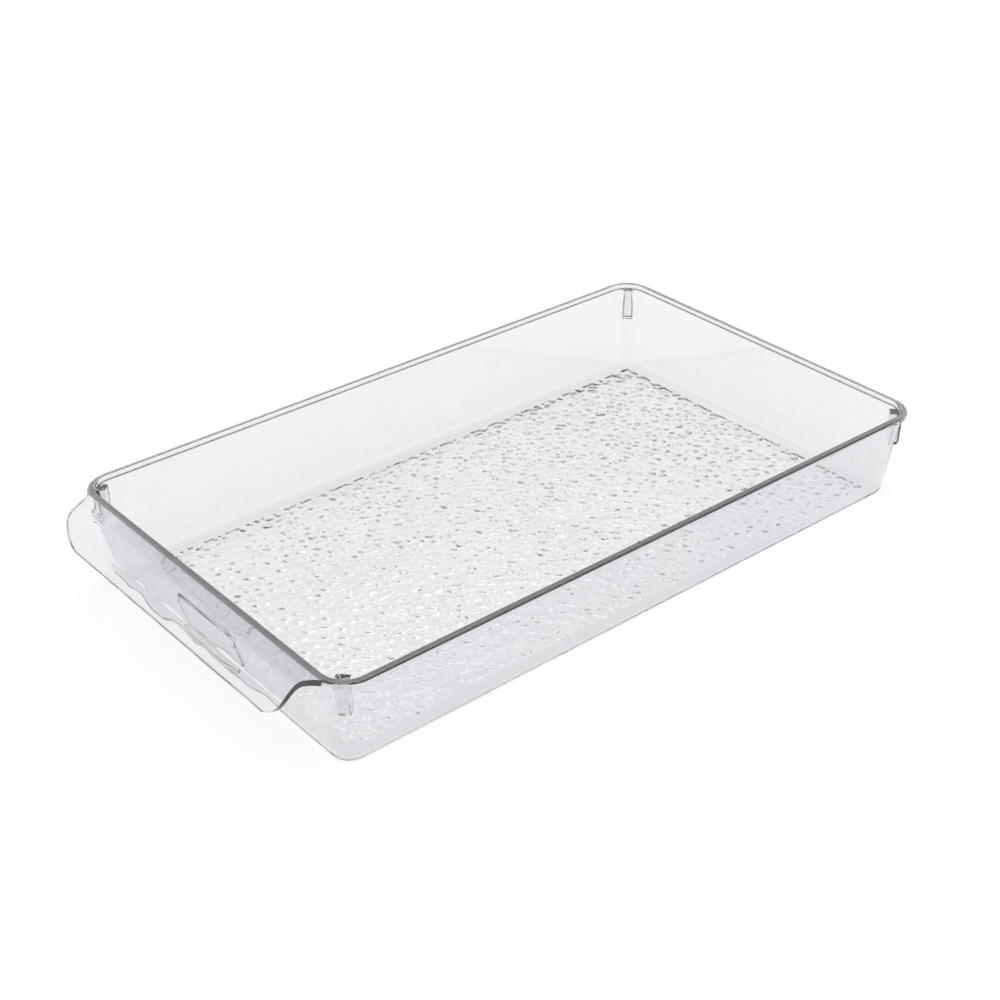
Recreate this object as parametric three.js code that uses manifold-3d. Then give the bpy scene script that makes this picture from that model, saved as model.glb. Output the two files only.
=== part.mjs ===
// Clear organizer tray: one moulded body with a pull flap at its front end, and a label on the front wall.
// Millimetres, +Z up. The origin is the centre of the underside, and the front, with the flap, faces -Y.

import * as THREE from "three";
import { mergeVertices } from "three/addons/utils/BufferGeometryUtils.js";
import Module from "manifold-3d";

// Overall sizes of the tray, without the flap
const rimWidth = 190;
const rimLength = 321;
const trayHeight = 43.5;

// How far the foot of each wall is set in from the rim's outer edge
const sideSetIn = 7.8;
const endSetIn = 6.5;

// Corners in plan, and the edge between wall and floor
const rimCornerRadius = 14;
const baseCornerRadius = 9;
const baseEdgeRadius = 4;
const floorFilletRadius = 2.3;
const floorCornerRadius = 5;

// Plate thicknesses
const wallThickness = 1.7;
const floorThickness = 2;

// Lip round the rim: its underside rises by the draft on its way out
const lipOverhang = 2;
const lipHeight = 2.8;
const lipDraft = 0.4;
const lipEdgeRadius = 0.5;

// Pull flap: shelf, bend and skirt, measured on its upper and outer face
const flapSideInset = 14.6;
const flapShelf = 3.7;
const flapBendRadius = 10.7;
const flapBendAngle = THREE.MathUtils.degToRad(70);
const flapSkirt = 8.3;
const flapThickness = 2.8;
const flapRootRadius = 10.4;
const flapCornerRadius = 13.8;

// Stacking lug at each corner, outside the wall
const lugWidth = 5.4;
const lugDrop = 17.1;
const lugSetback = 1.6;
const lugTaper = 1;

// Label on the outside of the front wall
const labelWidth = 40;
const labelHeight = 20;
const labelThickness = 0.3;
const labelCornerRadius = 3;
const labelBaseGap = 6.5;
const labelClearance = 0.3;

// How far a cut or a joined form runs past the face that it meets
const overrun = 1;

// Steps in each round stretch
const cornerSteps = 8;
const edgeSteps = 4;
const flapSideSteps = 3;
const flapCornerSteps = 7;

const quarterTurn = Math.PI / 2;
const lipUnderside = trayHeight - lipHeight;
const baseHalfWidth = rimWidth / 2 - sideSetIn;
const baseHalfLength = rimLength / 2 - endSetIn;

const wasm = await Module();
wasm.setup();

// Closed solid from a stack of rings, each with as many points and turning the same way, lowest ring first.
function loft(rings) {
  const count = rings[0].length;
  const vertices = rings.flat().flatMap((point) => [point.x, point.y, point.z]);
  const faces = [];
  for (let level = 0; level < rings.length - 1; level += 1) {
    for (let i = 0; i < count; i += 1) {
      const next = (i + 1) % count;
      const below = level * count;
      const above = below + count;
      faces.push(below + i, below + next, above + next);
      faces.push(below + i, above + next, above + i);
    }
  }
  const top = (rings.length - 1) * count;
  for (let i = 1; i < count - 1; i += 1) {
    faces.push(0, i + 1, i);
    faces.push(top, top + i, top + i + 1);
  }
  const geometry = new THREE.BufferGeometry();
  geometry.setAttribute("position", new THREE.Float32BufferAttribute(vertices, 3));
  geometry.setIndex(faces);
  return geometry;
}

// Solid for joining and cutting, from a closed geometry.
function toManifold(geometry) {
  const merged = mergeVertices(geometry);
  return new wasm.Manifold(new wasm.Mesh({
    numProp: 3,
    vertProperties: Float32Array.from(merged.attributes.position.array),
    triVerts: Uint32Array.from(merged.index.array),
  }));
}

// Geometry of a joined or cut solid.
function toGeometry(solid) {
  const mesh = solid.getMesh();
  const geometry = new THREE.BufferGeometry();
  geometry.setAttribute("position", new THREE.BufferAttribute(Float32Array.from(mesh.vertProperties), 3));
  geometry.setIndex(new THREE.BufferAttribute(Uint32Array.from(mesh.triVerts), 1));
  geometry.computeVertexNormals();
  return geometry;
}

// Rounded rectangle at one height, anticlockwise from above.
function roundedRing(halfWidth, halfLength, radius, z) {
  const points = [];
  const corners = [[1, 1], [-1, 1], [-1, -1], [1, -1]];
  corners.forEach(([sideX, sideY], corner) => {
    for (let step = 0; step <= cornerSteps; step += 1) {
      const angle = (corner + step / cornerSteps) * quarterTurn;
      points.push(new THREE.Vector3(
        sideX * (halfWidth - radius) + radius * Math.cos(angle),
        sideY * (halfLength - radius) + radius * Math.sin(angle),
        z,
      ));
    }
  });
  return points;
}

// Outer face of the leaning walls at one height, drawn in by an inset.
function wallOutline(z, inset) {
  const rise = z / lipUnderside;
  return {
    halfWidth: THREE.MathUtils.lerp(baseHalfWidth, rimWidth / 2 - lipOverhang, rise) - inset,
    halfLength: THREE.MathUtils.lerp(baseHalfLength, rimLength / 2 - lipOverhang, rise) - inset,
    radius: THREE.MathUtils.lerp(baseCornerRadius, rimCornerRadius - lipOverhang, rise) - inset,
  };
}

// The same outline as a ring of points.
function wallRing(z, inset) {
  const { halfWidth, halfLength, radius } = wallOutline(z, inset);
  return roundedRing(halfWidth, halfLength, radius, z);
}

// The tray as a full block: rounded bottom edge, leaning walls, then the lip with a softened top edge.
function outerShell() {
  const rings = [];
  for (let step = 0; step <= edgeSteps; step += 1) {
    const angle = (step / edgeSteps) * quarterTurn;
    rings.push(wallRing(baseEdgeRadius * (1 - Math.cos(angle)), baseEdgeRadius * (1 - Math.sin(angle))));
  }
  rings.push(wallRing(lipUnderside, 0));
  rings.push(roundedRing(rimWidth / 2, rimLength / 2, rimCornerRadius, lipUnderside + lipDraft));
  for (let step = 0; step <= edgeSteps; step += 1) {
    const angle = (step / edgeSteps) * quarterTurn;
    const inset = lipEdgeRadius * (1 - Math.cos(angle));
    const z = trayHeight - lipEdgeRadius * (1 - Math.sin(angle));
    rings.push(roundedRing(rimWidth / 2 - inset, rimLength / 2 - inset, rimCornerRadius - inset, z));
  }
  return toManifold(loft(rings));
}

// The inside of the tray: flat floor, fillet, leaning walls, and a softened edge where the walls end.
function cavity() {
  const rings = [];
  const filletTop = wallOutline(floorThickness + floorFilletRadius, wallThickness);
  for (let step = 0; step <= edgeSteps; step += 1) {
    const angle = (step / edgeSteps) * quarterTurn;
    const z = floorThickness + floorFilletRadius * (1 - Math.cos(angle));
    const inset = wallThickness + floorFilletRadius * (1 - Math.sin(angle));
    const { halfWidth, halfLength } = wallOutline(z, inset);
    const radius = THREE.MathUtils.lerp(floorCornerRadius, filletTop.radius, Math.sin(angle));
    rings.push(roundedRing(halfWidth, halfLength, radius, z));
  }
  for (let step = 0; step <= edgeSteps; step += 1) {
    const angle = (step / edgeSteps) * quarterTurn;
    const z = trayHeight - lipEdgeRadius * (1 - Math.sin(angle));
    rings.push(wallRing(z, wallThickness - lipEdgeRadius * (1 - Math.cos(angle))));
  }
  rings.push(wallRing(trayHeight + overrun, wallThickness - lipEdgeRadius));
  return toManifold(loft(rings));
}

// Place and outward tilt on the flap's outer face, a given run from the rim's front edge.
function flapStation(run) {
  const angle = THREE.MathUtils.clamp((run - flapShelf) / flapBendRadius, 0, flapBendAngle);
  const straight = Math.max(run - flapShelf - flapBendRadius * flapBendAngle, 0);
  const shelf = Math.min(run, flapShelf);
  return {
    angle,
    out: shelf + flapBendRadius * Math.sin(angle) + straight * Math.cos(angle),
    down: flapBendRadius * (1 - Math.cos(angle)) + straight * Math.sin(angle),
  };
}

// Runs and half widths down the flap's side: inside the rim, a root fillet that leaves the rim's corner on a
// tangent, the straight edge, then the rounded lower corner.
function flapSide() {
  const total = flapShelf + flapBendRadius * flapBendAngle + flapSkirt;
  const halfWidth = rimWidth / 2 - flapSideInset;
  const filletOffset = Math.max(flapRootRadius + rimCornerRadius - flapSideInset, 0);
  const filletRun = Math.sqrt((rimCornerRadius + flapRootRadius) ** 2 - filletOffset ** 2) - rimCornerRadius;
  const filletSpan = Math.atan2(rimCornerRadius + filletRun, filletOffset);
  const fillet = [];
  for (let step = 0; step <= flapCornerSteps; step += 1) {
    const angle = filletSpan * (1 - step / flapCornerSteps);
    fillet.push({
      run: filletRun - flapRootRadius * Math.sin(angle),
      half: halfWidth + flapRootRadius * (1 - Math.cos(angle)),
    });
  }
  const root = { run: -(lipOverhang + wallThickness / 2), half: fillet[0].half };
  const straightEnd = total - flapCornerRadius;
  const straight = [];
  for (let step = 1; step < flapSideSteps; step += 1) {
    straight.push({ run: THREE.MathUtils.lerp(filletRun, straightEnd, step / flapSideSteps), half: halfWidth });
  }
  const corner = [];
  for (let step = 0; step <= flapCornerSteps; step += 1) {
    const angle = (step / flapCornerSteps) * quarterTurn;
    corner.push({
      run: straightEnd + flapCornerRadius * Math.sin(angle),
      half: halfWidth - flapCornerRadius * (1 - Math.cos(angle)),
    });
  }
  return [root, ...fillet, ...straight, ...corner];
}

// Bent plate, one four-cornered ring across it at each station.
function handleFlap() {
  const rings = flapSide().map(({ run, half }) => {
    const { angle, out, down } = flapStation(run);
    const outer = { y: -(rimLength / 2 + out), z: trayHeight - down };
    const inner = {
      y: outer.y + flapThickness * Math.sin(angle),
      z: outer.z - flapThickness * Math.cos(angle),
    };
    return [
      new THREE.Vector3(-half, outer.y, outer.z),
      new THREE.Vector3(-half, inner.y, inner.z),
      new THREE.Vector3(half, inner.y, inner.z),
      new THREE.Vector3(half, outer.y, outer.z),
    ];
  });
  return toManifold(loft(rings));
}

// Stacking lug: a short upright rib under the lip, across the corner, with a flat lower end.
function cornerLug(sideX, sideY) {
  const centreX = sideX * (rimWidth / 2 - rimCornerRadius);
  const centreY = sideY * (rimLength / 2 - rimCornerRadius);
  const outward = new THREE.Vector2(sideX, sideY).normalize();
  const along = new THREE.Vector2(-outward.y, outward.x);
  const ring = (z, reach) => [[0, -1], [reach, -1], [reach, 1], [0, 1]].map(([out, side]) => new THREE.Vector3(
    centreX + outward.x * out + along.x * side * lugWidth / 2,
    centreY + outward.y * out + along.y * side * lugWidth / 2,
    z,
  ));
  const reach = rimCornerRadius - lugSetback;
  return toManifold(loft([
    ring(trayHeight - lugDrop, reach - lugTaper),
    ring(lipUnderside + lipHeight / 2, reach),
  ]));
}

// The whole moulding: shell, flap and lugs joined, with the cavity cut out of all three.
function trayBody() {
  let solid = outerShell().add(handleFlap());
  for (const sideX of [-1, 1]) {
    for (const sideY of [-1, 1]) {
      solid = solid.add(cornerLug(sideX, sideY));
    }
  }
  return toGeometry(solid.subtract(cavity()));
}

// Thin plate with rounded corners, standing in its own XZ plane with its back towards +Y.
function labelPlate() {
  const halfWidth = labelWidth / 2 - labelCornerRadius;
  const halfHeight = labelHeight / 2 - labelCornerRadius;
  const shape = new THREE.Shape();
  shape.absarc(halfWidth, halfHeight, labelCornerRadius, 0, quarterTurn);
  shape.absarc(-halfWidth, halfHeight, labelCornerRadius, quarterTurn, 2 * quarterTurn);
  shape.absarc(-halfWidth, -halfHeight, labelCornerRadius, 2 * quarterTurn, 3 * quarterTurn);
  shape.absarc(halfWidth, -halfHeight, labelCornerRadius, 3 * quarterTurn, 4 * quarterTurn);
  const plate = new THREE.ExtrudeGeometry(shape, {
    depth: labelThickness,
    bevelEnabled: false,
    curveSegments: cornerSteps,
  });
  return plate.rotateX(quarterTurn);
}

const clearPlastic = new THREE.MeshStandardMaterial({
  color: 0xe9ebee,
  roughness: 0.08,
  metalness: 0,
  transparent: true,
  opacity: 0.35,
});
const labelFilm = new THREE.MeshStandardMaterial({
  color: 0xf2f2f0,
  roughness: 0.35,
  metalness: 0,
  transparent: true,
  opacity: 0.6,
});

const tray = new THREE.Group();

const body = new THREE.Mesh(trayBody(), clearPlastic);
body.name = "tray_body";
tray.add(body);

// The label leans with the front wall and lies just clear of it.
const frontLean = Math.atan2(endSetIn - lipOverhang, lipUnderside);
const labelSeat = new THREE.Group();
labelSeat.position.set(0, -baseHalfLength, 0);
labelSeat.rotation.x = frontLean;
const label = new THREE.Mesh(labelPlate(), labelFilm);
label.name = "front_label";
label.position.set(0, -labelClearance, labelBaseGap + labelHeight / 2);
labelSeat.add(label);
tray.add(labelSeat);

export default tray;
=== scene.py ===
"""Dressed model of a clear organizer tray: one clear moulding and a bare film label.

Metres, +Z up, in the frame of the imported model. The pull flap faces -Y.
"""

import logging
import math
from dataclasses import dataclass, field
from enum import Enum
from typing import Callable, Iterable

import bmesh
import bpy
from mathutils import Matrix, Vector


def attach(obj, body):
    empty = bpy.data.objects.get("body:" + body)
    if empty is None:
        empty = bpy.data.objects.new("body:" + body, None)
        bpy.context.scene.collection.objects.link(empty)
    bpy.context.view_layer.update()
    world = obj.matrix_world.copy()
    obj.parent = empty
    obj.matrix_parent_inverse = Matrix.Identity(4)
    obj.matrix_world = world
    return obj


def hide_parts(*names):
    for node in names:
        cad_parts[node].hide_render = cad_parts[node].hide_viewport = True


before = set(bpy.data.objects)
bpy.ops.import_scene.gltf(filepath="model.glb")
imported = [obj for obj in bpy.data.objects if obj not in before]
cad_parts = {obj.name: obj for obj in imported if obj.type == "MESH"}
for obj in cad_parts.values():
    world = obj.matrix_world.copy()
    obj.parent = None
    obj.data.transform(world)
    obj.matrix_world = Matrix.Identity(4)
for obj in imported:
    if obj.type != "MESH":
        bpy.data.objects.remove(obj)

Colour = tuple[float, float, float, float]
Place = tuple[float, float, float]

MM = 0.001
RIGHT_ANGLE = math.pi / 2
SAME_PLANE = 0.001 * MM
SAME_LEVEL = 0.01 * MM
SQUARE_ON = 0.99
CREASE_DEGREES = 32
WHITE: Colour = (1, 1, 1, 1)
BLACK: Colour = (0, 0, 0, 1)
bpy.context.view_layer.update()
ROOT_BODY = "root"
LOG = logging.getLogger("organizer_tray")


class Slot(Enum):
    """Material slots of the record."""

    CLEAR_PLASTIC = "clear_plastic"
    LABEL_FILM = "label_film"


class Corner(Enum):
    """The tray's four corners, as the signs of X and Y."""

    RIGHT_BACK = (1, 1)
    LEFT_BACK = (-1, 1)
    LEFT_FRONT = (-1, -1)
    RIGHT_FRONT = (1, -1)


class Pick(Enum):
    """What a selection is made of, by Blender's names for the select modes."""

    EDGES = "EDGE"
    FACES = "FACE"


# Edit-mode helpers


def deselect_objects() -> None:
    """Leaves no object selected, with Blender in object mode."""
    if bpy.context.object is not None and bpy.context.object.mode != "OBJECT":
        bpy.ops.object.mode_set(mode="OBJECT")
    bpy.ops.object.select_all(action="DESELECT")


def make_active(piece: bpy.types.Object) -> None:
    """Selects one object alone and makes it the active one.

    Args:
        piece: The object to work on.
    """
    deselect_objects()
    piece.select_set(True)
    bpy.context.view_layer.objects.active = piece


def open_primitive(name: str) -> bpy.types.Object:
    """Names the primitive that was just added, opens it in edit mode and selects all of it.

    Args:
        name: Name of the object.

    Returns:
        The object, in edit mode.
    """
    piece = bpy.context.object
    piece.name = name
    bpy.ops.object.mode_set(mode="EDIT")
    bpy.ops.mesh.select_all(action="SELECT")
    return piece


def select_only(piece: bpy.types.Object, pick: Pick, test: Callable[..., bool]) -> int:
    """Selects the edges or faces of the mesh in edit mode that pass a test, and no others.

    Args:
        piece: The object in edit mode.
        pick: Whether edges or faces are wanted.
        test: Takes an edge or a face and says whether it is selected.

    Returns:
        How many were selected.
    """
    bpy.ops.mesh.select_mode(type=pick.value)
    bpy.ops.mesh.select_all(action="DESELECT")
    mesh = bmesh.from_edit_mesh(piece.data)
    parts = mesh.edges if pick is Pick.EDGES else mesh.faces
    found = [part for part in parts if test(part)]
    for part in found:
        part.select_set(True)
    bmesh.update_edit_mesh(piece.data)
    return len(found)


def finish_closed_mesh() -> None:
    """Turns every face of the closed mesh in edit mode outwards, and goes back to object mode."""
    bpy.ops.mesh.select_all(action="SELECT")
    bpy.ops.mesh.normals_make_consistent(inside=False)
    bpy.ops.object.mode_set(mode="OBJECT")


def apply_modifier(piece: bpy.types.Object, modifier: bpy.types.Modifier) -> None:
    """Applies one modifier to its object.

    Args:
        piece: The object that has the modifier.
        modifier: The modifier to apply.
    """
    make_active(piece)
    bpy.ops.object.modifier_apply(modifier=modifier.name)


def shade_by_angle(piece: bpy.types.Object) -> None:
    """Smooths the shading, keeps creases crisp, and lets flat faces set the normals beside them.

    Args:
        piece: The object to shade.
    """
    make_active(piece)
    bpy.ops.object.shade_smooth_by_angle(angle=math.radians(CREASE_DEGREES))
    weighted = piece.modifiers.new("flat_faces_lead", "WEIGHTED_NORMAL")
    weighted.mode = "FACE_AREA"
    weighted.keep_sharp = True
    apply_modifier(piece, weighted)


def displace(
    piece: bpy.types.Object, texture: bpy.types.Texture, group: str, direction: str,
    level: float, depth: float,
) -> None:
    """Moves the points of a vertex group by a texture's heights.

    Args:
        piece: The object to shape.
        texture: The heights.
        group: Name of the vertex group.
        direction: Which way a point moves, by Blender's name for it.
        level: The texture's value that leaves a point where it is.
        depth: Distance between the texture's 0 and 1.
    """
    relief = piece.modifiers.new("relief", "DISPLACE")
    relief.texture = texture
    relief.texture_coords = "LOCAL"
    relief.direction = direction
    relief.mid_level = level
    relief.strength = depth
    relief.vertex_group = group
    apply_modifier(piece, relief)


def quarter_round(radius: float, steps: int) -> list[tuple[float, float]]:
    """Points round a quarter circle that joins two flat faces.

    Args:
        radius: Radius of the round.
        steps: How many equal steps it has.

    Returns:
        Two distances for each point: one that grows from nothing to the radius, and one that
        shrinks from the radius to nothing.
    """
    turns = [RIGHT_ANGLE * step / steps for step in range(steps + 1)]
    return [(radius * (1 - math.cos(turn)), radius * (1 - math.sin(turn))) for turn in turns]


@dataclass(frozen=True)
class Ring:
    """A rounded rectangle: its middle, half sizes, corner radius, and its tilt about X."""

    centre: Place
    half_width: float
    half_length: float
    radius: float
    tilt: float = 0.0


class LoftedForm:
    """A closed form skinned over a row of rounded rectangles, one after another."""

    def __init__(self, name: str, corner_segments: int) -> None:
        """Starts an empty mesh object and opens it in edit mode.

        Args:
            name: Name of the object.
            corner_segments: Segments in each rounded corner of every ring.
        """
        deselect_objects()
        bpy.ops.mesh.primitive_plane_add(size=1)
        self.piece = open_primitive(name)
        self.piece.data.name = name
        self.corner_segments = corner_segments
        bpy.ops.mesh.delete(type="VERT")

    def add_ring(self, ring: Ring) -> None:
        """Adds one open ring: a plane at its size, with its corners bevelled round.

        Args:
            ring: The rounded rectangle to add.
        """
        bpy.ops.mesh.select_mode(type="VERT")
        bpy.ops.mesh.select_all(action="DESELECT")
        bpy.ops.mesh.primitive_plane_add(size=1, location=(0, 0, 0))
        bpy.ops.transform.resize(
            value=(2 * ring.half_width, 2 * ring.half_length, 1), center_override=(0, 0, 0)
        )
        bpy.ops.mesh.bevel(
            offset=ring.radius, offset_type="OFFSET", segments=self.corner_segments,
            profile=0.5, affect="VERTICES",
        )
        if ring.tilt:
            bpy.ops.transform.rotate(
                value=-ring.tilt, orient_axis="X", center_override=(0, 0, 0)
            )
        bpy.ops.transform.translate(value=ring.centre)
        bpy.ops.mesh.delete(type="ONLY_FACE")

    def bridge_open_rings(self) -> None:
        """Skins the wall between the two open rings."""
        bpy.ops.mesh.select_mode(type="EDGE")
        bpy.ops.mesh.select_all(action="DESELECT")
        bpy.ops.mesh.select_non_manifold(
            extend=False, use_wire=True, use_boundary=True, use_multi_face=False,
            use_non_contiguous=False, use_verts=False,
        )
        bpy.ops.mesh.bridge_edge_loops()

    def close_ring(self, ring: Ring) -> None:
        """Fills the open end that lies in a ring's plane.

        Args:
            ring: The ring whose outline is filled.
        """
        normal = Vector((0, -math.sin(ring.tilt), math.cos(ring.tilt)))
        centre = Vector(ring.centre)
        select_only(
            self.piece,
            Pick.EDGES,
            lambda edge: edge.is_boundary
            and all(abs((vertex.co - centre).dot(normal)) < SAME_PLANE for vertex in edge.verts),
        )
        bpy.ops.mesh.edge_face_add()

    def skin(self, rings: Iterable[Ring]) -> bpy.types.Object:
        """Skins the whole row of rings and closes both ends.

        Args:
            rings: The rings, in order along the form.

        Returns:
            The finished object, in object mode.
        """
        row = list(rings)
        self.add_ring(row[0])
        for number, ring in enumerate(row[1:]):
            self.add_ring(ring)
            self.bridge_open_rings()
            if number == 0:
                self.close_ring(row[0])
        self.close_ring(row[-1])
        finish_closed_mesh()
        return self.piece


# Finishes


def new_material(name: str) -> tuple[bpy.types.Material, bpy.types.Nodes, bpy.types.NodeLinks]:
    """Makes an empty node material.

    Args:
        name: Name of the material.

    Returns:
        The material, its nodes and its links.
    """
    material = bpy.data.materials.new(name)
    material.use_nodes = True
    material.node_tree.nodes.clear()
    return material, material.node_tree.nodes, material.node_tree.links


def set_ramp(
    ramp: bpy.types.ColorRamp, low: tuple[float, Colour], high: tuple[float, Colour]
) -> None:
    """Sets both ends of a colour ramp.

    Args:
        ramp: The ramp.
        low: Place and colour of its lower end.
        high: Place and colour of its upper end.
    """
    for element, (place, colour) in zip(ramp.elements, (low, high)):
        element.position = place
        element.color = colour


class SeeThroughNodes:
    """The nodes of a see-through material, with the steps that its finishes share."""

    def __init__(self, name: str) -> None:
        """Starts the material.

        Args:
            name: Name of the material.
        """
        self.material, self.nodes, self.links = new_material(name)
        self.place = self.nodes.new("ShaderNodeTexCoord").outputs["Object"]

    def noise(self, scale: float, detail: float) -> bpy.types.NodeSocket:
        """Adds a noise pattern that stays with the piece.

        Args:
            scale: How fine it is.
            detail: How many finer layers it has.

        Returns:
            The pattern.
        """
        noise = self.nodes.new("ShaderNodeTexNoise")
        noise.inputs["Scale"].default_value = scale
        noise.inputs["Detail"].default_value = detail
        self.links.new(self.place, noise.inputs["Vector"])
        return noise.outputs["Fac"]

    def tint(
        self, pattern: bpy.types.NodeSocket, low: tuple[float, Colour], high: tuple[float, Colour]
    ) -> bpy.types.NodeSocket:
        """Adds a colour that follows a pattern.

        Args:
            pattern: The pattern.
            low: The pattern's value up to which the first colour holds, and that colour.
            high: The value from which the second colour holds, and that colour.

        Returns:
            The colour.
        """
        tint = self.nodes.new("ShaderNodeValToRGB")
        set_ramp(tint.color_ramp, low, high)
        self.links.new(pattern, tint.inputs["Fac"])
        return tint.outputs["Color"]

    def gloss(
        self, pattern: bpy.types.NodeSocket, span: tuple[float, float],
        smoothest: float, roughest: float,
    ) -> bpy.types.NodeSocket:
        """Adds a roughness that follows a pattern.

        Args:
            pattern: The pattern.
            span: The pattern's values at the smoothest and at the roughest.
            smoothest: The least roughness.
            roughest: The greatest roughness.

        Returns:
            The roughness.
        """
        gloss = self.nodes.new("ShaderNodeMapRange")
        gloss.inputs["From Min"].default_value, gloss.inputs["From Max"].default_value = span
        gloss.inputs["To Min"].default_value = smoothest
        gloss.inputs["To Max"].default_value = roughest
        self.links.new(pattern, gloss.inputs["Value"])
        return gloss.outputs["Result"]

    def body(
        self, tint: bpy.types.NodeSocket, gloss: bpy.types.NodeSocket, clearness: float, ior: float
    ) -> bpy.types.Node:
        """Adds the surface itself.

        Args:
            tint: Its colour.
            gloss: Its roughness.
            clearness: The share of light that goes through.
            ior: How strongly it bends light.

        Returns:
            The surface's node.
        """
        body = self.nodes.new("ShaderNodeBsdfPrincipled")
        body.inputs["Transmission Weight"].default_value = clearness
        body.inputs["IOR"].default_value = ior
        self.links.new(tint, body.inputs["Base Color"])
        self.links.new(gloss, body.inputs["Roughness"])
        return body

    def show(self, body: bpy.types.Node, shadow_pass: Colour) -> bpy.types.Node:
        """Shows the surface, and lets lamps through it.

        Args:
            body: The surface's node.
            shadow_pass: The share of a lamp's light that goes through, by colour.

        Returns:
            The material's output node.
        """
        rays = self.nodes.new("ShaderNodeLightPath")
        open_way = self.nodes.new("ShaderNodeBsdfTransparent")
        open_way.inputs["Color"].default_value = shadow_pass
        shown = self.nodes.new("ShaderNodeMixShader")
        output = self.nodes.new("ShaderNodeOutputMaterial")
        self.links.new(rays.outputs["Is Shadow Ray"], shown.inputs["Fac"])
        self.links.new(body.outputs["BSDF"], shown.inputs[1])
        self.links.new(open_way.outputs["BSDF"], shown.inputs[2])
        self.links.new(shown.outputs["Shader"], output.inputs["Surface"])
        return output


@dataclass(frozen=True)
class ClearPlasticFinish:
    """Clear moulded polystyrene: a faint drifting tint and a glossy skin with slight flow marks."""

    name: str = "clear_polystyrene"
    pale: Colour = (0.965, 0.965, 0.98, 1.0)
    shade: Colour = (0.945, 0.945, 0.965, 1.0)
    shade_until: float = 0.3
    pale_from: float = 0.7
    tint_scale: float = 18.0
    tint_detail: float = 2.0
    depth_colour: Colour = (0.03, 0.03, 0.08, 1.0)
    depth_density: float = 31.0
    clearness: float = 0.975
    shadow_pass: Colour = (0.985, 0.985, 0.985, 1.0)
    ior: float = 1.58
    smoothest: float = 0.0
    roughest: float = 0.035
    wipe_span: tuple[float, float] = (0.35, 0.75)
    wipe_scale: float = 55.0
    wipe_detail: float = 4.0
    flow_scale: float = 70.0
    flow_detail: float = 2.0
    flow_height: float = 0.02 * MM

    def build(self) -> bpy.types.Material:
        """Makes the material.

        Returns:
            Clear plastic that lets lamps through.
        """
        tree = SeeThroughNodes(self.name)
        drift = tree.noise(self.tint_scale, self.tint_detail)
        tint = tree.tint(drift, (self.shade_until, self.shade), (self.pale_from, self.pale))
        wipes = tree.noise(self.wipe_scale, self.wipe_detail)
        gloss = tree.gloss(wipes, self.wipe_span, self.smoothest, self.roughest)
        body = tree.body(tint, gloss, self.clearness, self.ior)

        relief = tree.nodes.new("ShaderNodeBump")
        relief.inputs["Strength"].default_value = 1
        relief.inputs["Distance"].default_value = self.flow_height
        tree.links.new(tree.noise(self.flow_scale, self.flow_detail), relief.inputs["Height"])
        tree.links.new(relief.outputs["Normal"], body.inputs["Normal"])

        output = tree.show(body, self.shadow_pass)
        depth = tree.nodes.new("ShaderNodeVolumeAbsorption")
        depth.inputs["Color"].default_value = self.depth_colour
        depth.inputs["Density"].default_value = self.depth_density
        tree.links.new(depth.outputs["Volume"], output.inputs["Volume"])
        return tree.material


@dataclass(frozen=True)
class LabelFilmFinish:
    """Clear adhesive film, bare, with a faint haze that varies."""

    name: str = "label_film"
    clear: Colour = (0.97, 0.97, 0.975, 1.0)
    hazed: Colour = (0.93, 0.93, 0.935, 1.0)
    hazed_until: float = 0.35
    clear_from: float = 0.65
    clearness: float = 1.0
    shadow_pass: Colour = WHITE
    haze_scale: float = 120.0
    haze_detail: float = 2.0
    haze_span: tuple[float, float] = (0.0, 1.0)
    ior: float = 1.45
    smoothest: float = 0.03
    roughest: float = 0.12

    def build(self) -> bpy.types.Material:
        """Makes the material.

        Returns:
            Film that lets lamps through.
        """
        tree = SeeThroughNodes(self.name)
        haze = tree.noise(self.haze_scale, self.haze_detail)
        tint = tree.tint(haze, (self.hazed_until, self.hazed), (self.clear_from, self.clear))
        gloss = tree.gloss(haze, self.haze_span, self.smoothest, self.roughest)
        tree.show(tree.body(tint, gloss, self.clearness, self.ior), self.shadow_pass)
        return tree.material


SCUFFED_RIM = ClearPlasticFinish(
    name="clear_polystyrene_scuffed", clearness=0.76, smoothest=0.12, roughest=0.3,
    wipe_scale=160.0,
)
# Painted shade: a near-black, nearly opaque finish on the label's cut edge, standing in for the
# dark line that light makes at the edge of clear film.
PAINTED_EDGE_SHADE = LabelFilmFinish(
    name="label_edge_painted_shade", clear=(0.14, 0.14, 0.16, 1.0), hazed=(0.07, 0.07, 0.08, 1.0),
    clearness=0.15, haze_scale=300.0, smoothest=0.2, roughest=0.5,
)


def set_finishes(
    piece: bpy.types.Object, finishes: Iterable[ClearPlasticFinish | LabelFilmFinish]
) -> None:
    """Gives a piece its materials in place of those it has.

    Args:
        piece: The object to dress.
        finishes: Its finishes, the main one first.
    """
    piece.data.materials.clear()
    for finish in finishes:
        piece.data.materials.append(finish.build())


def use_second_finish(piece: bpy.types.Object) -> None:
    """Gives the selected faces of the piece in edit mode its second finish."""
    piece.active_material_index = 1
    bpy.ops.object.material_slot_assign()


# The tray


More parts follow.
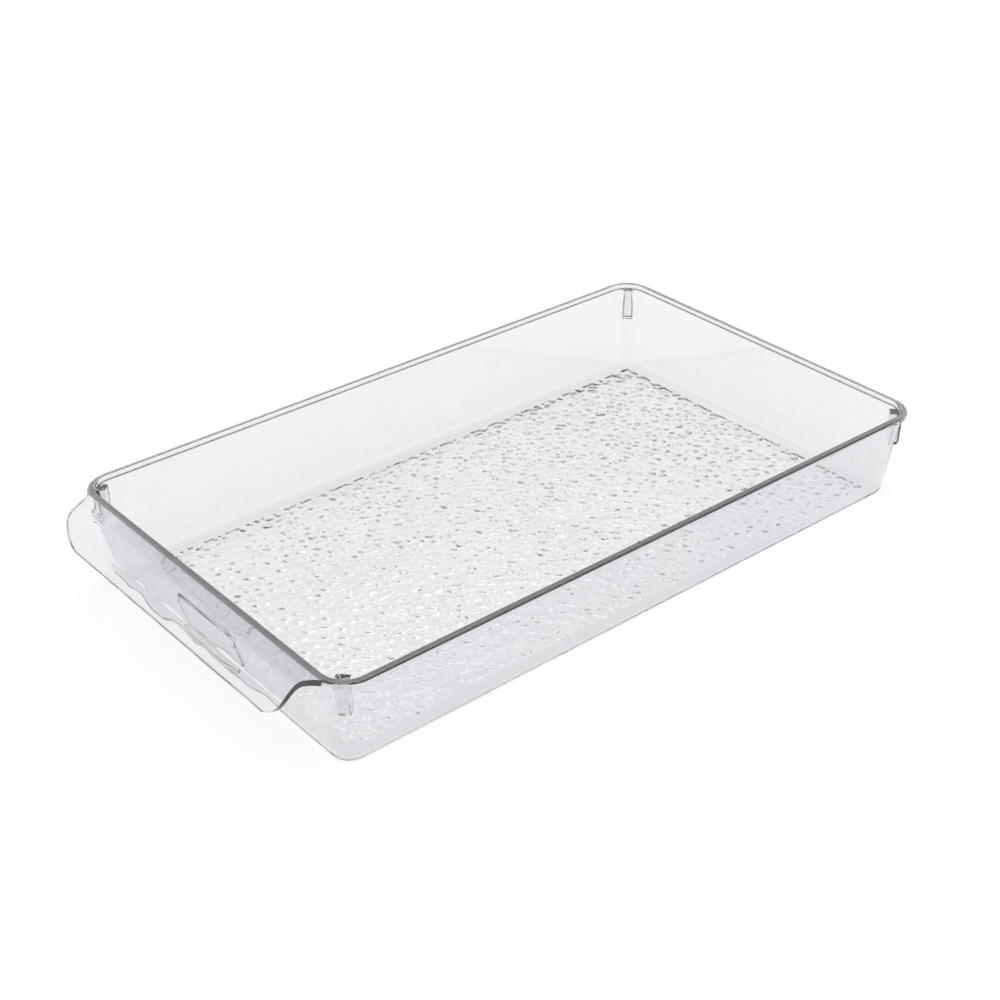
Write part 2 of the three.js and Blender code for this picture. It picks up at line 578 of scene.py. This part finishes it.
@dataclass
class TrayShell:
    """Leaning walls, floor plate and rim lip of the moulding, without the pebbles."""

    rim_width: float = 190 * MM
    rim_length: float = 321 * MM
    height: float = 43.5 * MM
    side_set_in: float = 7.8 * MM
    end_set_in: float = 6.5 * MM
    rim_corner_radius: float = 14 * MM
    base_corner_radius: float = 9 * MM
    base_edge_radius: float = 4 * MM
    floor_fillet_radius: float = 2.3 * MM
    wall_thickness: float = 1.7 * MM
    floor_thickness: float = 2 * MM
    lip_overhang: float = 2 * MM
    lip_height: float = 2.8 * MM
    lip_draft: float = 0.05 * MM
    top_draft: float = 0.03 * MM
    lip_edge_radius: float = 0.8 * MM
    inner_edge_radius: float = 0.8 * MM
    corner_segments: int = 14
    base_edge_steps: int = 10
    fillet_steps: int = 12
    lip_edge_steps: int = 6

    @property
    def lip_underside(self) -> float:
        """Height of the lip's lower face."""
        return self.height - self.lip_height

    def wall(self, z: float, inset: float) -> Ring:
        """Outer face of the walls at one height, drawn in by an inset.

        Args:
            z: Height above the underside.
            inset: How far inside the outer face the ring lies.

        Returns:
            The ring at that height.
        """
        rise = z / self.lip_underside
        foot_width = self.rim_width / 2 - self.side_set_in
        foot_length = self.rim_length / 2 - self.end_set_in
        head_width = self.rim_width / 2 - self.lip_overhang
        head_length = self.rim_length / 2 - self.lip_overhang
        head_radius = self.rim_corner_radius - self.lip_overhang
        return Ring(
            centre=(0, 0, z),
            half_width=foot_width + (head_width - foot_width) * rise - inset,
            half_length=foot_length + (head_length - foot_length) * rise - inset,
            radius=self.base_corner_radius + (head_radius - self.base_corner_radius) * rise - inset,
        )

    def lip(self, z: float, inset: float) -> Ring:
        """Outer face of the rim lip at one height.

        Args:
            z: Height above the underside.
            inset: How far inside the outer face the ring lies.

        Returns:
            The ring at that height.
        """
        return Ring(
            centre=(0, 0, z),
            half_width=self.rim_width / 2 - inset,
            half_length=self.rim_length / 2 - inset,
            radius=self.rim_corner_radius - inset,
        )

    def outer_rings(self) -> list[Ring]:
        """Rings up the outside, from the rounded bottom edge to the top of the lip.

        Returns:
            The rings, from the lowest to the highest.
        """
        bottom_round = quarter_round(self.base_edge_radius, self.base_edge_steps)
        lip_round = quarter_round(self.lip_edge_radius, self.lip_edge_steps)
        lip_foot = self.lip_underside + self.lip_draft
        return [
            *(self.wall(rise, inset) for rise, inset in bottom_round),
            self.wall(self.lip_underside, 0),
            *(self.lip(lip_foot + rise, inset) for rise, inset in lip_round),
            *(self.lip(self.height - drop, inset) for inset, drop in lip_round),
        ]

    def inner_rings(self) -> list[Ring]:
        """Rings down the inside, from the top of the lip to the edge of the flat floor.

        Returns:
            The rings, from the highest to the lowest.
        """
        top = self.height - self.top_draft
        top_round = quarter_round(self.inner_edge_radius, self.lip_edge_steps)
        fillet = quarter_round(self.floor_fillet_radius, self.fillet_steps)
        wall, floor = self.wall_thickness, self.floor_thickness
        return [
            *(self.wall(top - drop, wall - inset) for inset, drop in reversed(top_round)),
            *(self.wall(floor + rise, wall + inset) for rise, inset in reversed(fillet)),
        ]

    def build(self) -> bpy.types.Object:
        """Skins the shell.

        Returns:
            The shell as one closed mesh with a plain floor.
        """
        form = LoftedForm("tray_moulding", self.corner_segments)
        return form.skin([*self.outer_rings(), *self.inner_rings()])


@dataclass
class PullFlap:
    """Down-turned flap on the front of the rim: shelf, bend, skirt, root fillets and corners."""

    shell: TrayShell
    side_inset: float = 14.6 * MM
    shelf: float = 3.7 * MM
    bend_radius: float = 10.7 * MM
    bend_angle: float = math.radians(70)
    skirt: float = 8.3 * MM
    thickness: float = 2.8 * MM
    root_radius: float = 10.4 * MM
    corner_radius: float = 13.8 * MM
    edge_radius: float = 0.5 * MM
    least_edge_radius: float = 0.05 * MM
    edge_segments: int = 3
    fillet_steps: int = 10
    bend_steps: int = 44
    corner_steps: int = 14
    least_step: float = 0.1 * MM
    cuts_across: int = 40
    wave_pitch: float = 20 * MM
    wave_depth: float = 0.4 * MM
    wave_bands: int = 8
    wave_group: str = "waves"

    @property
    def bend(self) -> float:
        """Length of the bend, measured round its outer face."""
        return self.bend_radius * self.bend_angle

    @property
    def total(self) -> float:
        """Length of the flap, measured down its outer face."""
        return self.shelf + self.bend + self.skirt

    @property
    def half_width(self) -> float:
        """Half the width of the flap between its straight sides."""
        return self.shell.rim_width / 2 - self.side_inset

    @property
    def fillet_offset(self) -> float:
        """How far the root fillet's centre lies outside the centre of the rim's corner."""
        return max(self.root_radius + self.shell.rim_corner_radius - self.side_inset, 0)

    @property
    def fillet_run(self) -> float:
        """Run at which the root fillet meets the straight side."""
        rim_radius = self.shell.rim_corner_radius
        between = rim_radius + self.root_radius
        return math.sqrt(between ** 2 - self.fillet_offset ** 2) - rim_radius

    def station(self, run: float) -> tuple[float, float, float]:
        """Place on the outer face, a given run from the rim's front edge.

        Args:
            run: Distance along the outer face.

        Returns:
            The Y and Z of the point, and the flap's tilt there.
        """
        angle = min(max((run - self.shelf) / self.bend_radius, 0), self.bend_angle)
        straight = max(run - self.shelf - self.bend, 0)
        flat = min(run, self.shelf)
        out = flat + self.bend_radius * math.sin(angle) + straight * math.cos(angle)
        down = self.bend_radius * (1 - math.cos(angle)) + straight * math.sin(angle)
        return -(self.shell.rim_length / 2 + out), self.shell.height - down, angle

    def half_width_at(self, run: float) -> float:
        """Half the flap's width at a run, root fillet and lower corner included.

        Args:
            run: Distance along the outer face.

        Returns:
            Half the width there.
        """
        if run < self.fillet_run:
            turn = math.asin(min((self.fillet_run - run) / self.root_radius, 1))
            return self.half_width + self.root_radius * (1 - math.cos(turn))
        past = run - (self.total - self.corner_radius)
        if past > 0:
            turn = math.asin(min(past / self.corner_radius, 1))
            return self.half_width - self.corner_radius * (1 - math.cos(turn))
        return self.half_width

    def runs(self) -> list[float]:
        """Runs of the rings, close together where the flap bends or its sides curve.

        Returns:
            The runs, from the rim to just above the lower edge.
        """
        found = {0.0, self.shelf, self.fillet_run}
        span = math.atan2(self.shell.rim_corner_radius + self.fillet_run, self.fillet_offset)
        for step in range(1, self.fillet_steps):
            turn = span * step / self.fillet_steps
            found.add(self.fillet_run - self.root_radius * math.sin(turn))
        for step in range(1, self.bend_steps + 1):
            found.add(self.shelf + self.bend * step / self.bend_steps)
        for _, short_of_end in quarter_round(self.corner_radius, self.corner_steps):
            found.add(self.total - short_of_end)
        kept: list[float] = []
        for run in sorted(run for run in found if 0 <= run < self.total - self.edge_radius):
            if not kept or run - kept[-1] > self.least_step:
                kept.append(run)
        return kept

    def ring(self, run: float, half_width: float, draw_in: float) -> Ring:
        """Cross-section of the flap at a run.

        Args:
            run: Distance along the outer face.
            half_width: Half the width of the ring.
            draw_in: How far each side of the ring is drawn in from the flap's skin.

        Returns:
            The ring, square to the flap.
        """
        y, z, angle = self.station(run)
        half = self.thickness / 2
        return Ring(
            centre=(0, y + half * math.sin(angle), z - half * math.cos(angle)),
            half_width=half_width - draw_in,
            half_length=half - draw_in,
            radius=max(self.edge_radius - draw_in, self.least_edge_radius),
            tilt=angle - RIGHT_ANGLE,
        )

    def build(self) -> bpy.types.Object:
        """Skins the flap, from a root inside the rim to its rounded end.

        Returns:
            The flap as one closed mesh.
        """
        root = -(self.shell.lip_overhang + self.shell.wall_thickness / 2)
        end_half_width = self.half_width_at(self.total - self.edge_radius)
        end_round = quarter_round(self.edge_radius, self.edge_segments)
        flap = LoftedForm("pull_flap_form", self.edge_segments).skin([
            self.ring(root, self.half_width_at(0), 0),
            *(self.ring(run, self.half_width_at(run), 0) for run in self.runs()),
            *(self.ring(self.total - drop, end_half_width, inset) for inset, drop in end_round),
        ])
        self.ripple(flap)
        return flap

    def ripple(self, flap: bpy.types.Object) -> None:
        """Sinks slight moulded waves into both faces, from none at the rim to full on the bend.

        Args:
            flap: The smooth flap.
        """
        make_active(flap)
        bpy.ops.object.mode_set(mode="EDIT")
        select_only(
            flap,
            Pick.EDGES,
            lambda edge: abs(edge.verts[0].co.x - edge.verts[1].co.x) > self.half_width,
        )
        bpy.ops.mesh.subdivide(number_cuts=self.cuts_across)
        flap.vertex_groups.active = flap.vertex_groups.new(name=self.wave_group)
        front = self.shell.rim_length / 2
        for band in range(1, self.wave_bands + 1):
            reach = front + (self.shelf + self.bend_radius / 2) * band / self.wave_bands
            select_only(flap, Pick.FACES, lambda face: face.calc_center_median().y < -reach)
            bpy.context.scene.tool_settings.vertex_group_weight = band / self.wave_bands
            bpy.ops.object.vertex_group_assign()
        bpy.ops.object.mode_set(mode="OBJECT")

        texture = bpy.data.textures.new("flap_waves", type="CLOUDS")
        texture.noise_scale = self.wave_pitch
        displace(flap, texture, self.wave_group, "NORMAL", level=1.0, depth=self.wave_depth)
        flap.vertex_groups[self.wave_group].remove(range(len(flap.data.vertices)))
        flap.vertex_groups.clear()


@dataclass
class StackingLug:
    """Short upright rib under the lip, across one outer corner, with a flat lower end."""

    shell: TrayShell
    corner: Corner
    width: float = 5.4 * MM
    drop: float = 17.1 * MM
    setback: float = 1.6 * MM
    taper: float = 0.5 * MM
    edge_radius: float = 2.4 * MM
    edge_segments: int = 3
    outer_share: float = 0.9

    def build(self) -> bpy.types.Object:
        """Models the lug from a block: lower end drawn back, then the outer edges eased.

        Returns:
            The lug as one closed mesh.
        """
        shell = self.shell
        side_x, side_y = self.corner.value
        centre = Vector((
            side_x * (shell.rim_width / 2 - shell.rim_corner_radius),
            side_y * (shell.rim_length / 2 - shell.rim_corner_radius),
            0,
        ))
        outer = shell.rim_corner_radius - self.setback
        inner = outer / 2
        low = shell.height - self.drop
        high = shell.lip_underside + shell.lip_height / 2
        deselect_objects()
        bpy.ops.mesh.primitive_cube_add(size=1)
        lug = open_primitive(f"lug_form_{self.corner.name.lower()}")
        bpy.ops.transform.resize(
            value=(outer - inner, self.width, high - low), center_override=(0, 0, 0)
        )
        bpy.ops.transform.translate(value=((outer + inner) / 2, 0, (low + high) / 2))
        outside = outer * self.outer_share
        select_only(
            lug,
            Pick.EDGES,
            lambda edge: all(
                vertex.co.z < low + SAME_LEVEL and vertex.co.x > outside for vertex in edge.verts
            ),
        )
        bpy.ops.transform.translate(value=(-self.taper, 0, 0))
        select_only(lug, Pick.EDGES, lambda edge: all(v.co.x > outside for v in edge.verts))
        bpy.ops.mesh.bevel(offset=self.edge_radius, segments=self.edge_segments, affect="EDGES")
        bpy.ops.object.mode_set(mode="OBJECT")
        lug.rotation_euler = (0, 0, math.atan2(side_y, side_x))
        lug.location = centre
        bpy.ops.object.transform_apply(location=True, rotation=True, scale=True)
        return lug


@dataclass
class PebbledFloor:
    """Fine mesh over the flat floor, with grooves sunk between low rounded pebbles."""

    shell: TrayShell
    half_width: float = 78.7 * MM
    half_length: float = 145.5 * MM
    floor_share: float = 0.25
    spacing: float = 0.73 * MM
    pitch: float = 5 * MM
    height: float = 0.75 * MM
    shoulder: float = 0.36
    cell_gain: float = 2.0
    swell_pitch: float = 6 * MM
    swell_height: float = 0.25 * MM
    group: str = "pebbles"

    def is_plain_floor(self, face: bmesh.types.BMFace) -> bool:
        """Tells the one large face of the flat floor from every other.

        Args:
            face: A face of the shell.

        Returns:
            True for the floor.
        """
        shell = self.shell
        return (
            face.normal.z > SQUARE_ON
            and abs(face.calc_center_median().z - shell.floor_thickness) < SAME_LEVEL
            and face.calc_area() > self.floor_share * shell.rim_width * shell.rim_length
        )

    def lay(self, moulding: bpy.types.Object) -> None:
        """Swaps the plain floor face for the fine grid and shapes the pebbles in it.

        Args:
            moulding: The moulding, with its floor still one flat face.
        """
        moulding.vertex_groups.active = moulding.vertex_groups.new(name=self.group)
        moulding.vertex_groups[self.group].remove(range(len(moulding.data.vertices)))
        bpy.context.scene.tool_settings.vertex_group_weight = 1.0
        make_active(moulding)
        bpy.ops.object.mode_set(mode="EDIT")
        count = select_only(moulding, Pick.FACES, self.is_plain_floor)
        LOG.info("floor faces swapped: %d", count)
        bpy.ops.mesh.delete(type="ONLY_FACE")
        bpy.ops.mesh.select_mode(type="VERT")
        bpy.ops.mesh.select_all(action="DESELECT")
        width, length = 2 * self.half_width, 2 * self.half_length
        bpy.ops.mesh.primitive_grid_add(
            x_subdivisions=round(width / self.spacing),
            y_subdivisions=round(length / self.spacing),
            size=1, location=(0, 0, 0),
        )
        bpy.ops.transform.resize(value=(width, length, 1), center_override=(0, 0, 0))
        bpy.ops.transform.translate(value=(0, 0, self.shell.floor_thickness))
        bpy.ops.object.vertex_group_assign()
        select_only(moulding, Pick.EDGES, lambda edge: edge.is_boundary)
        bpy.ops.object.vertex_group_remove_from()
        bpy.ops.mesh.fill(use_beauty=True)
        finish_closed_mesh()

        pebbles, swells = self.pebble_texture(), self.swell_texture()
        displace(moulding, pebbles, self.group, "Z", level=1.0, depth=self.height)
        displace(moulding, swells, self.group, "Z", level=0.5, depth=self.swell_height)

    def swell_texture(self) -> bpy.types.Texture:
        """Soft uneven swells, wider than the pebbles.

        Returns:
            The texture, around 0.5 at the floor's mean height.
        """
        swells = bpy.data.textures.new("floor_swells", type="CLOUDS")
        swells.noise_scale = self.swell_pitch
        return swells

    def pebble_texture(self) -> bpy.types.Texture:
        """Cells that rise from the grooves between them to a rounded top.

        Returns:
            The texture, 0 in a groove and 1 on a pebble's top.
        """
        pebbles = bpy.data.textures.new("pebble_cells", type="VORONOI")
        pebbles.noise_scale = self.pitch
        pebbles.distance_metric = "DISTANCE"
        pebbles.color_mode = "INTENSITY"
        pebbles.weight_1 = -1
        pebbles.weight_2 = 1
        pebbles.noise_intensity = self.cell_gain
        pebbles.use_color_ramp = True
        pebbles.color_ramp.interpolation = "B_SPLINE"
        set_ramp(pebbles.color_ramp, (0, BLACK), (self.shoulder, WHITE))
        return pebbles


@dataclass
class TrayMoulding:
    """The whole clear moulding: shell, flap and lugs in one skin, with the pebbled floor."""

    shell: TrayShell = field(default_factory=TrayShell)
    finish: ClearPlasticFinish = field(default_factory=ClearPlasticFinish)
    rim_finish: ClearPlasticFinish = SCUFFED_RIM
    scuff_depth: float = 0.04 * MM

    def join(self, body: bpy.types.Object, form: bpy.types.Object) -> None:
        """Joins a form to the body in one skin and removes the form.

        Args:
            body: The object that grows.
            form: The object that is taken in.
        """
        union = body.modifiers.new("union", "BOOLEAN")
        union.operation = "UNION"
        union.solver = "EXACT"
        union.object = form
        apply_modifier(body, union)
        bpy.data.objects.remove(form)

    def is_rim_top(self, face: bmesh.types.BMFace) -> bool:
        """Tells a face of the rim's flat top from the rest, the flap's shelf left out.

        Args:
            face: A face of the moulding.

        Returns:
            True on the rim's flat top.
        """
        centre = face.calc_center_median()
        return (
            centre.z > self.shell.height - self.scuff_depth
            and abs(centre.x) < self.shell.rim_width / 2
            and abs(centre.y) < self.shell.rim_length / 2
        )

    def dress(self, moulding: bpy.types.Object) -> None:
        """Gives the moulding its clear finish, and the flat top of the rim a scuffed one.

        Args:
            moulding: The finished shape.
        """
        set_finishes(moulding, (self.finish, self.rim_finish))
        for polygon in moulding.data.polygons:
            polygon.material_index = 0
        make_active(moulding)
        bpy.ops.object.mode_set(mode="EDIT")
        count = select_only(moulding, Pick.FACES, self.is_rim_top)
        use_second_finish(moulding)
        bpy.ops.object.mode_set(mode="OBJECT")
        LOG.info("scuffed rim faces: %d", count)

    def build(self) -> bpy.types.Object:
        """Models, dresses and places the moulding.

        Returns:
            The finished piece.
        """
        moulding = self.shell.build()
        self.join(moulding, PullFlap(self.shell).build())
        for corner in Corner:
            self.join(moulding, StackingLug(self.shell, corner).build())
        PebbledFloor(self.shell).lay(moulding)
        shade_by_angle(moulding)
        self.dress(moulding)
        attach(moulding, ROOT_BODY)
        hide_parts("tray_body")
        return moulding


@dataclass
class FrontLabel:
    """Clear film label with rounded corners, low on the outside of the front wall."""

    shell: TrayShell = field(default_factory=TrayShell)
    finish: LabelFilmFinish = field(default_factory=LabelFilmFinish)
    # Painted shade on the label's cut edge.
    edge_shade_finish: LabelFilmFinish = PAINTED_EDGE_SHADE
    width: float = 40 * MM
    height: float = 20 * MM
    thickness: float = 0.3 * MM
    corner_radius: float = 3 * MM
    corner_segments: int = 10
    base_gap: float = 6.5 * MM
    clearance: float = 0.3 * MM
    edge_width: float = 0.55 * MM

    def paint_edge_shade(self, label: bpy.types.Object) -> None:
        """Marks off the cut edge for painted shade: a narrow border on both faces, and the sides,
        take a dark finish that stands in for the dark line a clear edge shows in light.

        Args:
            label: The plain film, lying flat, in edit mode.
        """
        select_only(label, Pick.FACES, lambda face: abs(face.normal.z) > SQUARE_ON)
        bpy.ops.mesh.inset(thickness=self.edge_width)
        half_area = self.width * self.height / 2
        select_only(label, Pick.FACES, lambda face: face.calc_area() < half_area)
        use_second_finish(label)

    def build(self) -> bpy.types.Object:
        """Models, dresses and places the label.

        Returns:
            The finished piece.
        """
        shell = self.shell
        deselect_objects()
        bpy.ops.mesh.primitive_plane_add(size=1)
        label = open_primitive("front_label_film")
        bpy.ops.transform.resize(value=(self.width, self.height, 1), center_override=(0, 0, 0))
        bpy.ops.mesh.bevel(
            offset=self.corner_radius, segments=self.corner_segments, affect="VERTICES"
        )
        bpy.ops.mesh.select_all(action="SELECT")
        bpy.ops.mesh.extrude_region_move(TRANSFORM_OT_translate={"value": (0, 0, self.thickness)})
        bpy.ops.mesh.select_all(action="SELECT")
        bpy.ops.mesh.normals_make_consistent(inside=False)
        set_finishes(label, (self.finish, self.edge_shade_finish))
        self.paint_edge_shade(label)
        bpy.ops.object.mode_set(mode="OBJECT")

        stand = Matrix.Rotation(RIGHT_ANGLE, 4, "X")
        lift = Matrix.Translation((0, -self.clearance, self.base_gap + self.height / 2))
        lean_angle = math.atan2(shell.end_set_in - shell.lip_overhang, shell.lip_underside)
        lean = Matrix.Rotation(lean_angle, 4, "X")
        seat = Matrix.Translation((0, -(shell.rim_length / 2 - shell.end_set_in), 0))
        label.matrix_world = seat @ lean @ lift @ stand
        bpy.ops.object.transform_apply(location=True, rotation=True, scale=True)
        shade_by_angle(label)
        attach(label, ROOT_BODY)
        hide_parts("front_label")
        return label


# The studio


def add_math(
    nodes: bpy.types.Nodes, links: bpy.types.NodeLinks, operation: str,
    first: bpy.types.NodeSocket, second: bpy.types.NodeSocket,
) -> bpy.types.Node:
    """Adds a node that works out one number from two.

    Args:
        nodes: Nodes of the tree.
        links: Links of the tree.
        operation: What it does, by Blender's name for it.
        first: The first number.
        second: The second number.

    Returns:
        The node.
    """
    maths = nodes.new("ShaderNodeMath")
    maths.operation = operation
    links.new(first, maths.inputs[0])
    links.new(second, maths.inputs[1])
    return maths


def rays_that_see_background(
    nodes: bpy.types.Nodes, links: bpy.types.NodeLinks
) -> bpy.types.NodeSocket:
    """Picks out the camera, glossy and transmission rays that haven't met a matt surface yet.

    Args:
        nodes: Nodes of the tree.
        links: Links of the tree.

    Returns:
        A socket that is 1 for those rays and 0 for the rest.
    """
    rays = nodes.new("ShaderNodeLightPath").outputs
    seen = add_math(nodes, links, "MAXIMUM", rays["Is Camera Ray"], rays["Is Glossy Ray"])
    seen = add_math(nodes, links, "MAXIMUM", seen.outputs["Value"], rays["Is Transmission Ray"])
    direct = add_math(nodes, links, "SUBTRACT", seen.outputs["Value"], rays["Diffuse Depth"])
    direct.use_clamp = True
    return direct.outputs["Value"]


def add_white(nodes: bpy.types.Nodes, kind: str, strength: float) -> bpy.types.Node:
    """Adds a white light.

    Args:
        nodes: Nodes of the tree.
        kind: Blender's name for the node, a background or an emission.
        strength: How bright it is.

    Returns:
        The node.
    """
    light = nodes.new(kind)
    light.inputs["Color"].default_value = WHITE
    light.inputs["Strength"].default_value = strength
    return light


@dataclass(frozen=True)
class Softbox:
    """A square soft lamp that faces the object and isn't seen through clear plastic."""

    name: str
    place: Place
    size: float
    watts: float

    def hang(self) -> None:
        """Adds the lamp to the scene."""
        deselect_objects()
        bpy.ops.object.light_add(type="AREA", location=self.place)
        lamp = bpy.context.object
        lamp.name = self.name
        lamp.data.shape = "SQUARE"
        lamp.data.size = self.size
        lamp.data.energy = self.watts
        lamp.visible_transmission = False
        lamp.rotation_mode = "QUATERNION"
        lamp.rotation_quaternion = (-Vector(self.place)).to_track_quat("-Z", "Y")


@dataclass
class Studio:
    """White floor, soft lamps, and a dark card overhead that gives clear edges their dark lines."""

    floor_size: float = 8.0
    floor_drop: float = 0.1 * MM
    floor_tone: float = 0.5
    floor_glow: float = 0.61
    card_height: float = 1.3
    card_length: float = 5.2
    card_width: float = 2.08
    card_turn: float = math.radians(140)
    card_sides: int = 48
    card_level: float = 0.3
    background_level: float = 1.0
    fill_level: float = 0.35
    softboxes: tuple[Softbox, ...] = (
        Softbox("ceiling_softbox", place=(0.0, 0.0, 2.4), size=3.0, watts=34.0),
        Softbox("back_softbox", place=(-0.46, 0.39, 1.04), size=0.45, watts=2.2),
    )

    def build_world(self) -> None:
        """Makes the world: white where it is seen, plain soft fill for the rest."""
        world = bpy.data.worlds.new("studio_world")
        bpy.context.scene.world = world
        world.use_nodes = True
        nodes, links = world.node_tree.nodes, world.node_tree.links
        nodes.clear()
        output = nodes.new("ShaderNodeOutputWorld")
        fill = add_white(nodes, "ShaderNodeBackground", self.fill_level)
        seen = add_white(nodes, "ShaderNodeBackground", self.background_level)
        mix = nodes.new("ShaderNodeMixShader")
        links.new(rays_that_see_background(nodes, links), mix.inputs["Fac"])
        links.new(fill.outputs["Background"], mix.inputs[1])
        links.new(seen.outputs["Background"], mix.inputs[2])
        links.new(mix.outputs["Shader"], output.inputs["Surface"])

    def build_floor(self) -> None:
        """Makes the floor, which shows white and keeps the object's shadow."""
        deselect_objects()
        bpy.ops.mesh.primitive_plane_add(size=self.floor_size, location=(0, 0, -self.floor_drop))
        floor = bpy.context.object
        floor.name = "studio_floor"
        material, nodes, links = new_material("studio_floor")
        output = nodes.new("ShaderNodeOutputMaterial")
        lit = nodes.new("ShaderNodeBsdfDiffuse")
        lit.inputs["Color"].default_value = (self.floor_tone, self.floor_tone, self.floor_tone, 1)
        glow = nodes.new("ShaderNodeEmission")
        glow.inputs["Color"].default_value = WHITE
        scale = nodes.new("ShaderNodeMath")
        scale.operation = "MULTIPLY"
        scale.inputs[1].default_value = self.floor_glow
        both = nodes.new("ShaderNodeAddShader")
        links.new(rays_that_see_background(nodes, links), scale.inputs[0])
        links.new(scale.outputs["Value"], glow.inputs["Strength"])
        links.new(lit.outputs["BSDF"], both.inputs[0])
        links.new(glow.outputs["Emission"], both.inputs[1])
        links.new(both.outputs["Shader"], output.inputs["Surface"])
        floor.data.materials.append(material)

    def build_card(self) -> None:
        """Makes the dark card over the object, seen only by glossy and transmission rays."""
        deselect_objects()
        bpy.ops.mesh.primitive_circle_add(
            vertices=self.card_sides, radius=0.5, fill_type="NGON", location=(0, 0, 0)
        )
        card = bpy.context.object
        card.name = "studio_card"
        card.scale = (self.card_length, self.card_width, 1)
        card.rotation_euler = (0, 0, self.card_turn)
        card.location = (0, 0, self.card_height)
        material, nodes, links = new_material("studio_card")
        output = nodes.new("ShaderNodeOutputMaterial")
        dim = add_white(nodes, "ShaderNodeEmission", self.card_level)
        links.new(dim.outputs["Emission"], output.inputs["Surface"])
        card.data.materials.append(material)
        card.visible_camera = False
        card.visible_diffuse = False
        card.visible_shadow = False

    def build(self) -> None:
        """Makes the whole studio."""
        self.build_world()
        self.build_floor()
        self.build_card()
        for softbox in self.softboxes:
            softbox.hang()


@dataclass(frozen=True)
class LightBounces:
    """How often light may turn inside the clear walls before it is given up."""

    most: int = 32
    glossy: int = 20
    transmission: int = 24

    def allow(self) -> None:
        """Sets these limits on the scene."""
        settings = bpy.context.scene.cycles
        settings.max_bounces = self.most
        settings.glossy_bounces = self.glossy
        settings.transmission_bounces = self.transmission


@dataclass
class PhotoCamera:
    """Camera at the photograph's place, from a fit to the rim, the base outline and the floor."""

    azimuth: float = math.radians(50.336)
    elevation: float = math.radians(31.345)
    roll: float = math.radians(-0.483)
    distance: float = 730.1 * MM
    target: Place = (31.82 * MM, -33.06 * MM, 43.5 * MM)
    focal_px: float = 1766.6
    image_px: float = 1000
    sensor_mm: float = 36

    def build(self) -> None:
        """Makes the camera and sets it as the scene's own."""
        level, rise = math.cos(self.elevation), math.sin(self.elevation)
        back = Vector((math.sin(self.azimuth) * level, -math.cos(self.azimuth) * level, rise))
        right = Vector((math.cos(self.azimuth), math.sin(self.azimuth), 0))
        up = back.cross(right)
        rolled_right = right * math.cos(self.roll) + up * math.sin(self.roll)
        rolled_up = up * math.cos(self.roll) - right * math.sin(self.roll)
        eye = Vector(self.target) + back * self.distance
        bpy.ops.object.camera_add()
        camera = bpy.context.object
        camera.name = "photo_camera"
        turn = Matrix((rolled_right, rolled_up, back)).transposed().to_4x4()
        camera.matrix_world = Matrix.Translation(eye) @ turn
        camera.data.sensor_width = self.sensor_mm
        camera.data.lens = self.sensor_mm * self.focal_px / self.image_px
        bpy.context.scene.camera = camera


def triangle_count(piece: bpy.types.Object) -> int:
    """Number of triangles in a piece."""
    return sum(len(polygon.vertices) - 2 for polygon in piece.data.polygons)


def main() -> None:
    """Builds the studio, the camera and the pieces in order."""
    logging.basicConfig(level=logging.INFO, format="%(message)s")
    bpy.context.scene.view_settings.view_transform = "Standard"
    LightBounces().allow()
    Studio().build()
    PhotoCamera().build()
    for builder in (TrayMoulding(), FrontLabel()):
        piece = builder.build()
        LOG.info("%s: %d triangles", piece.name, triangle_count(piece))


if __name__ == "__main__":
    main()
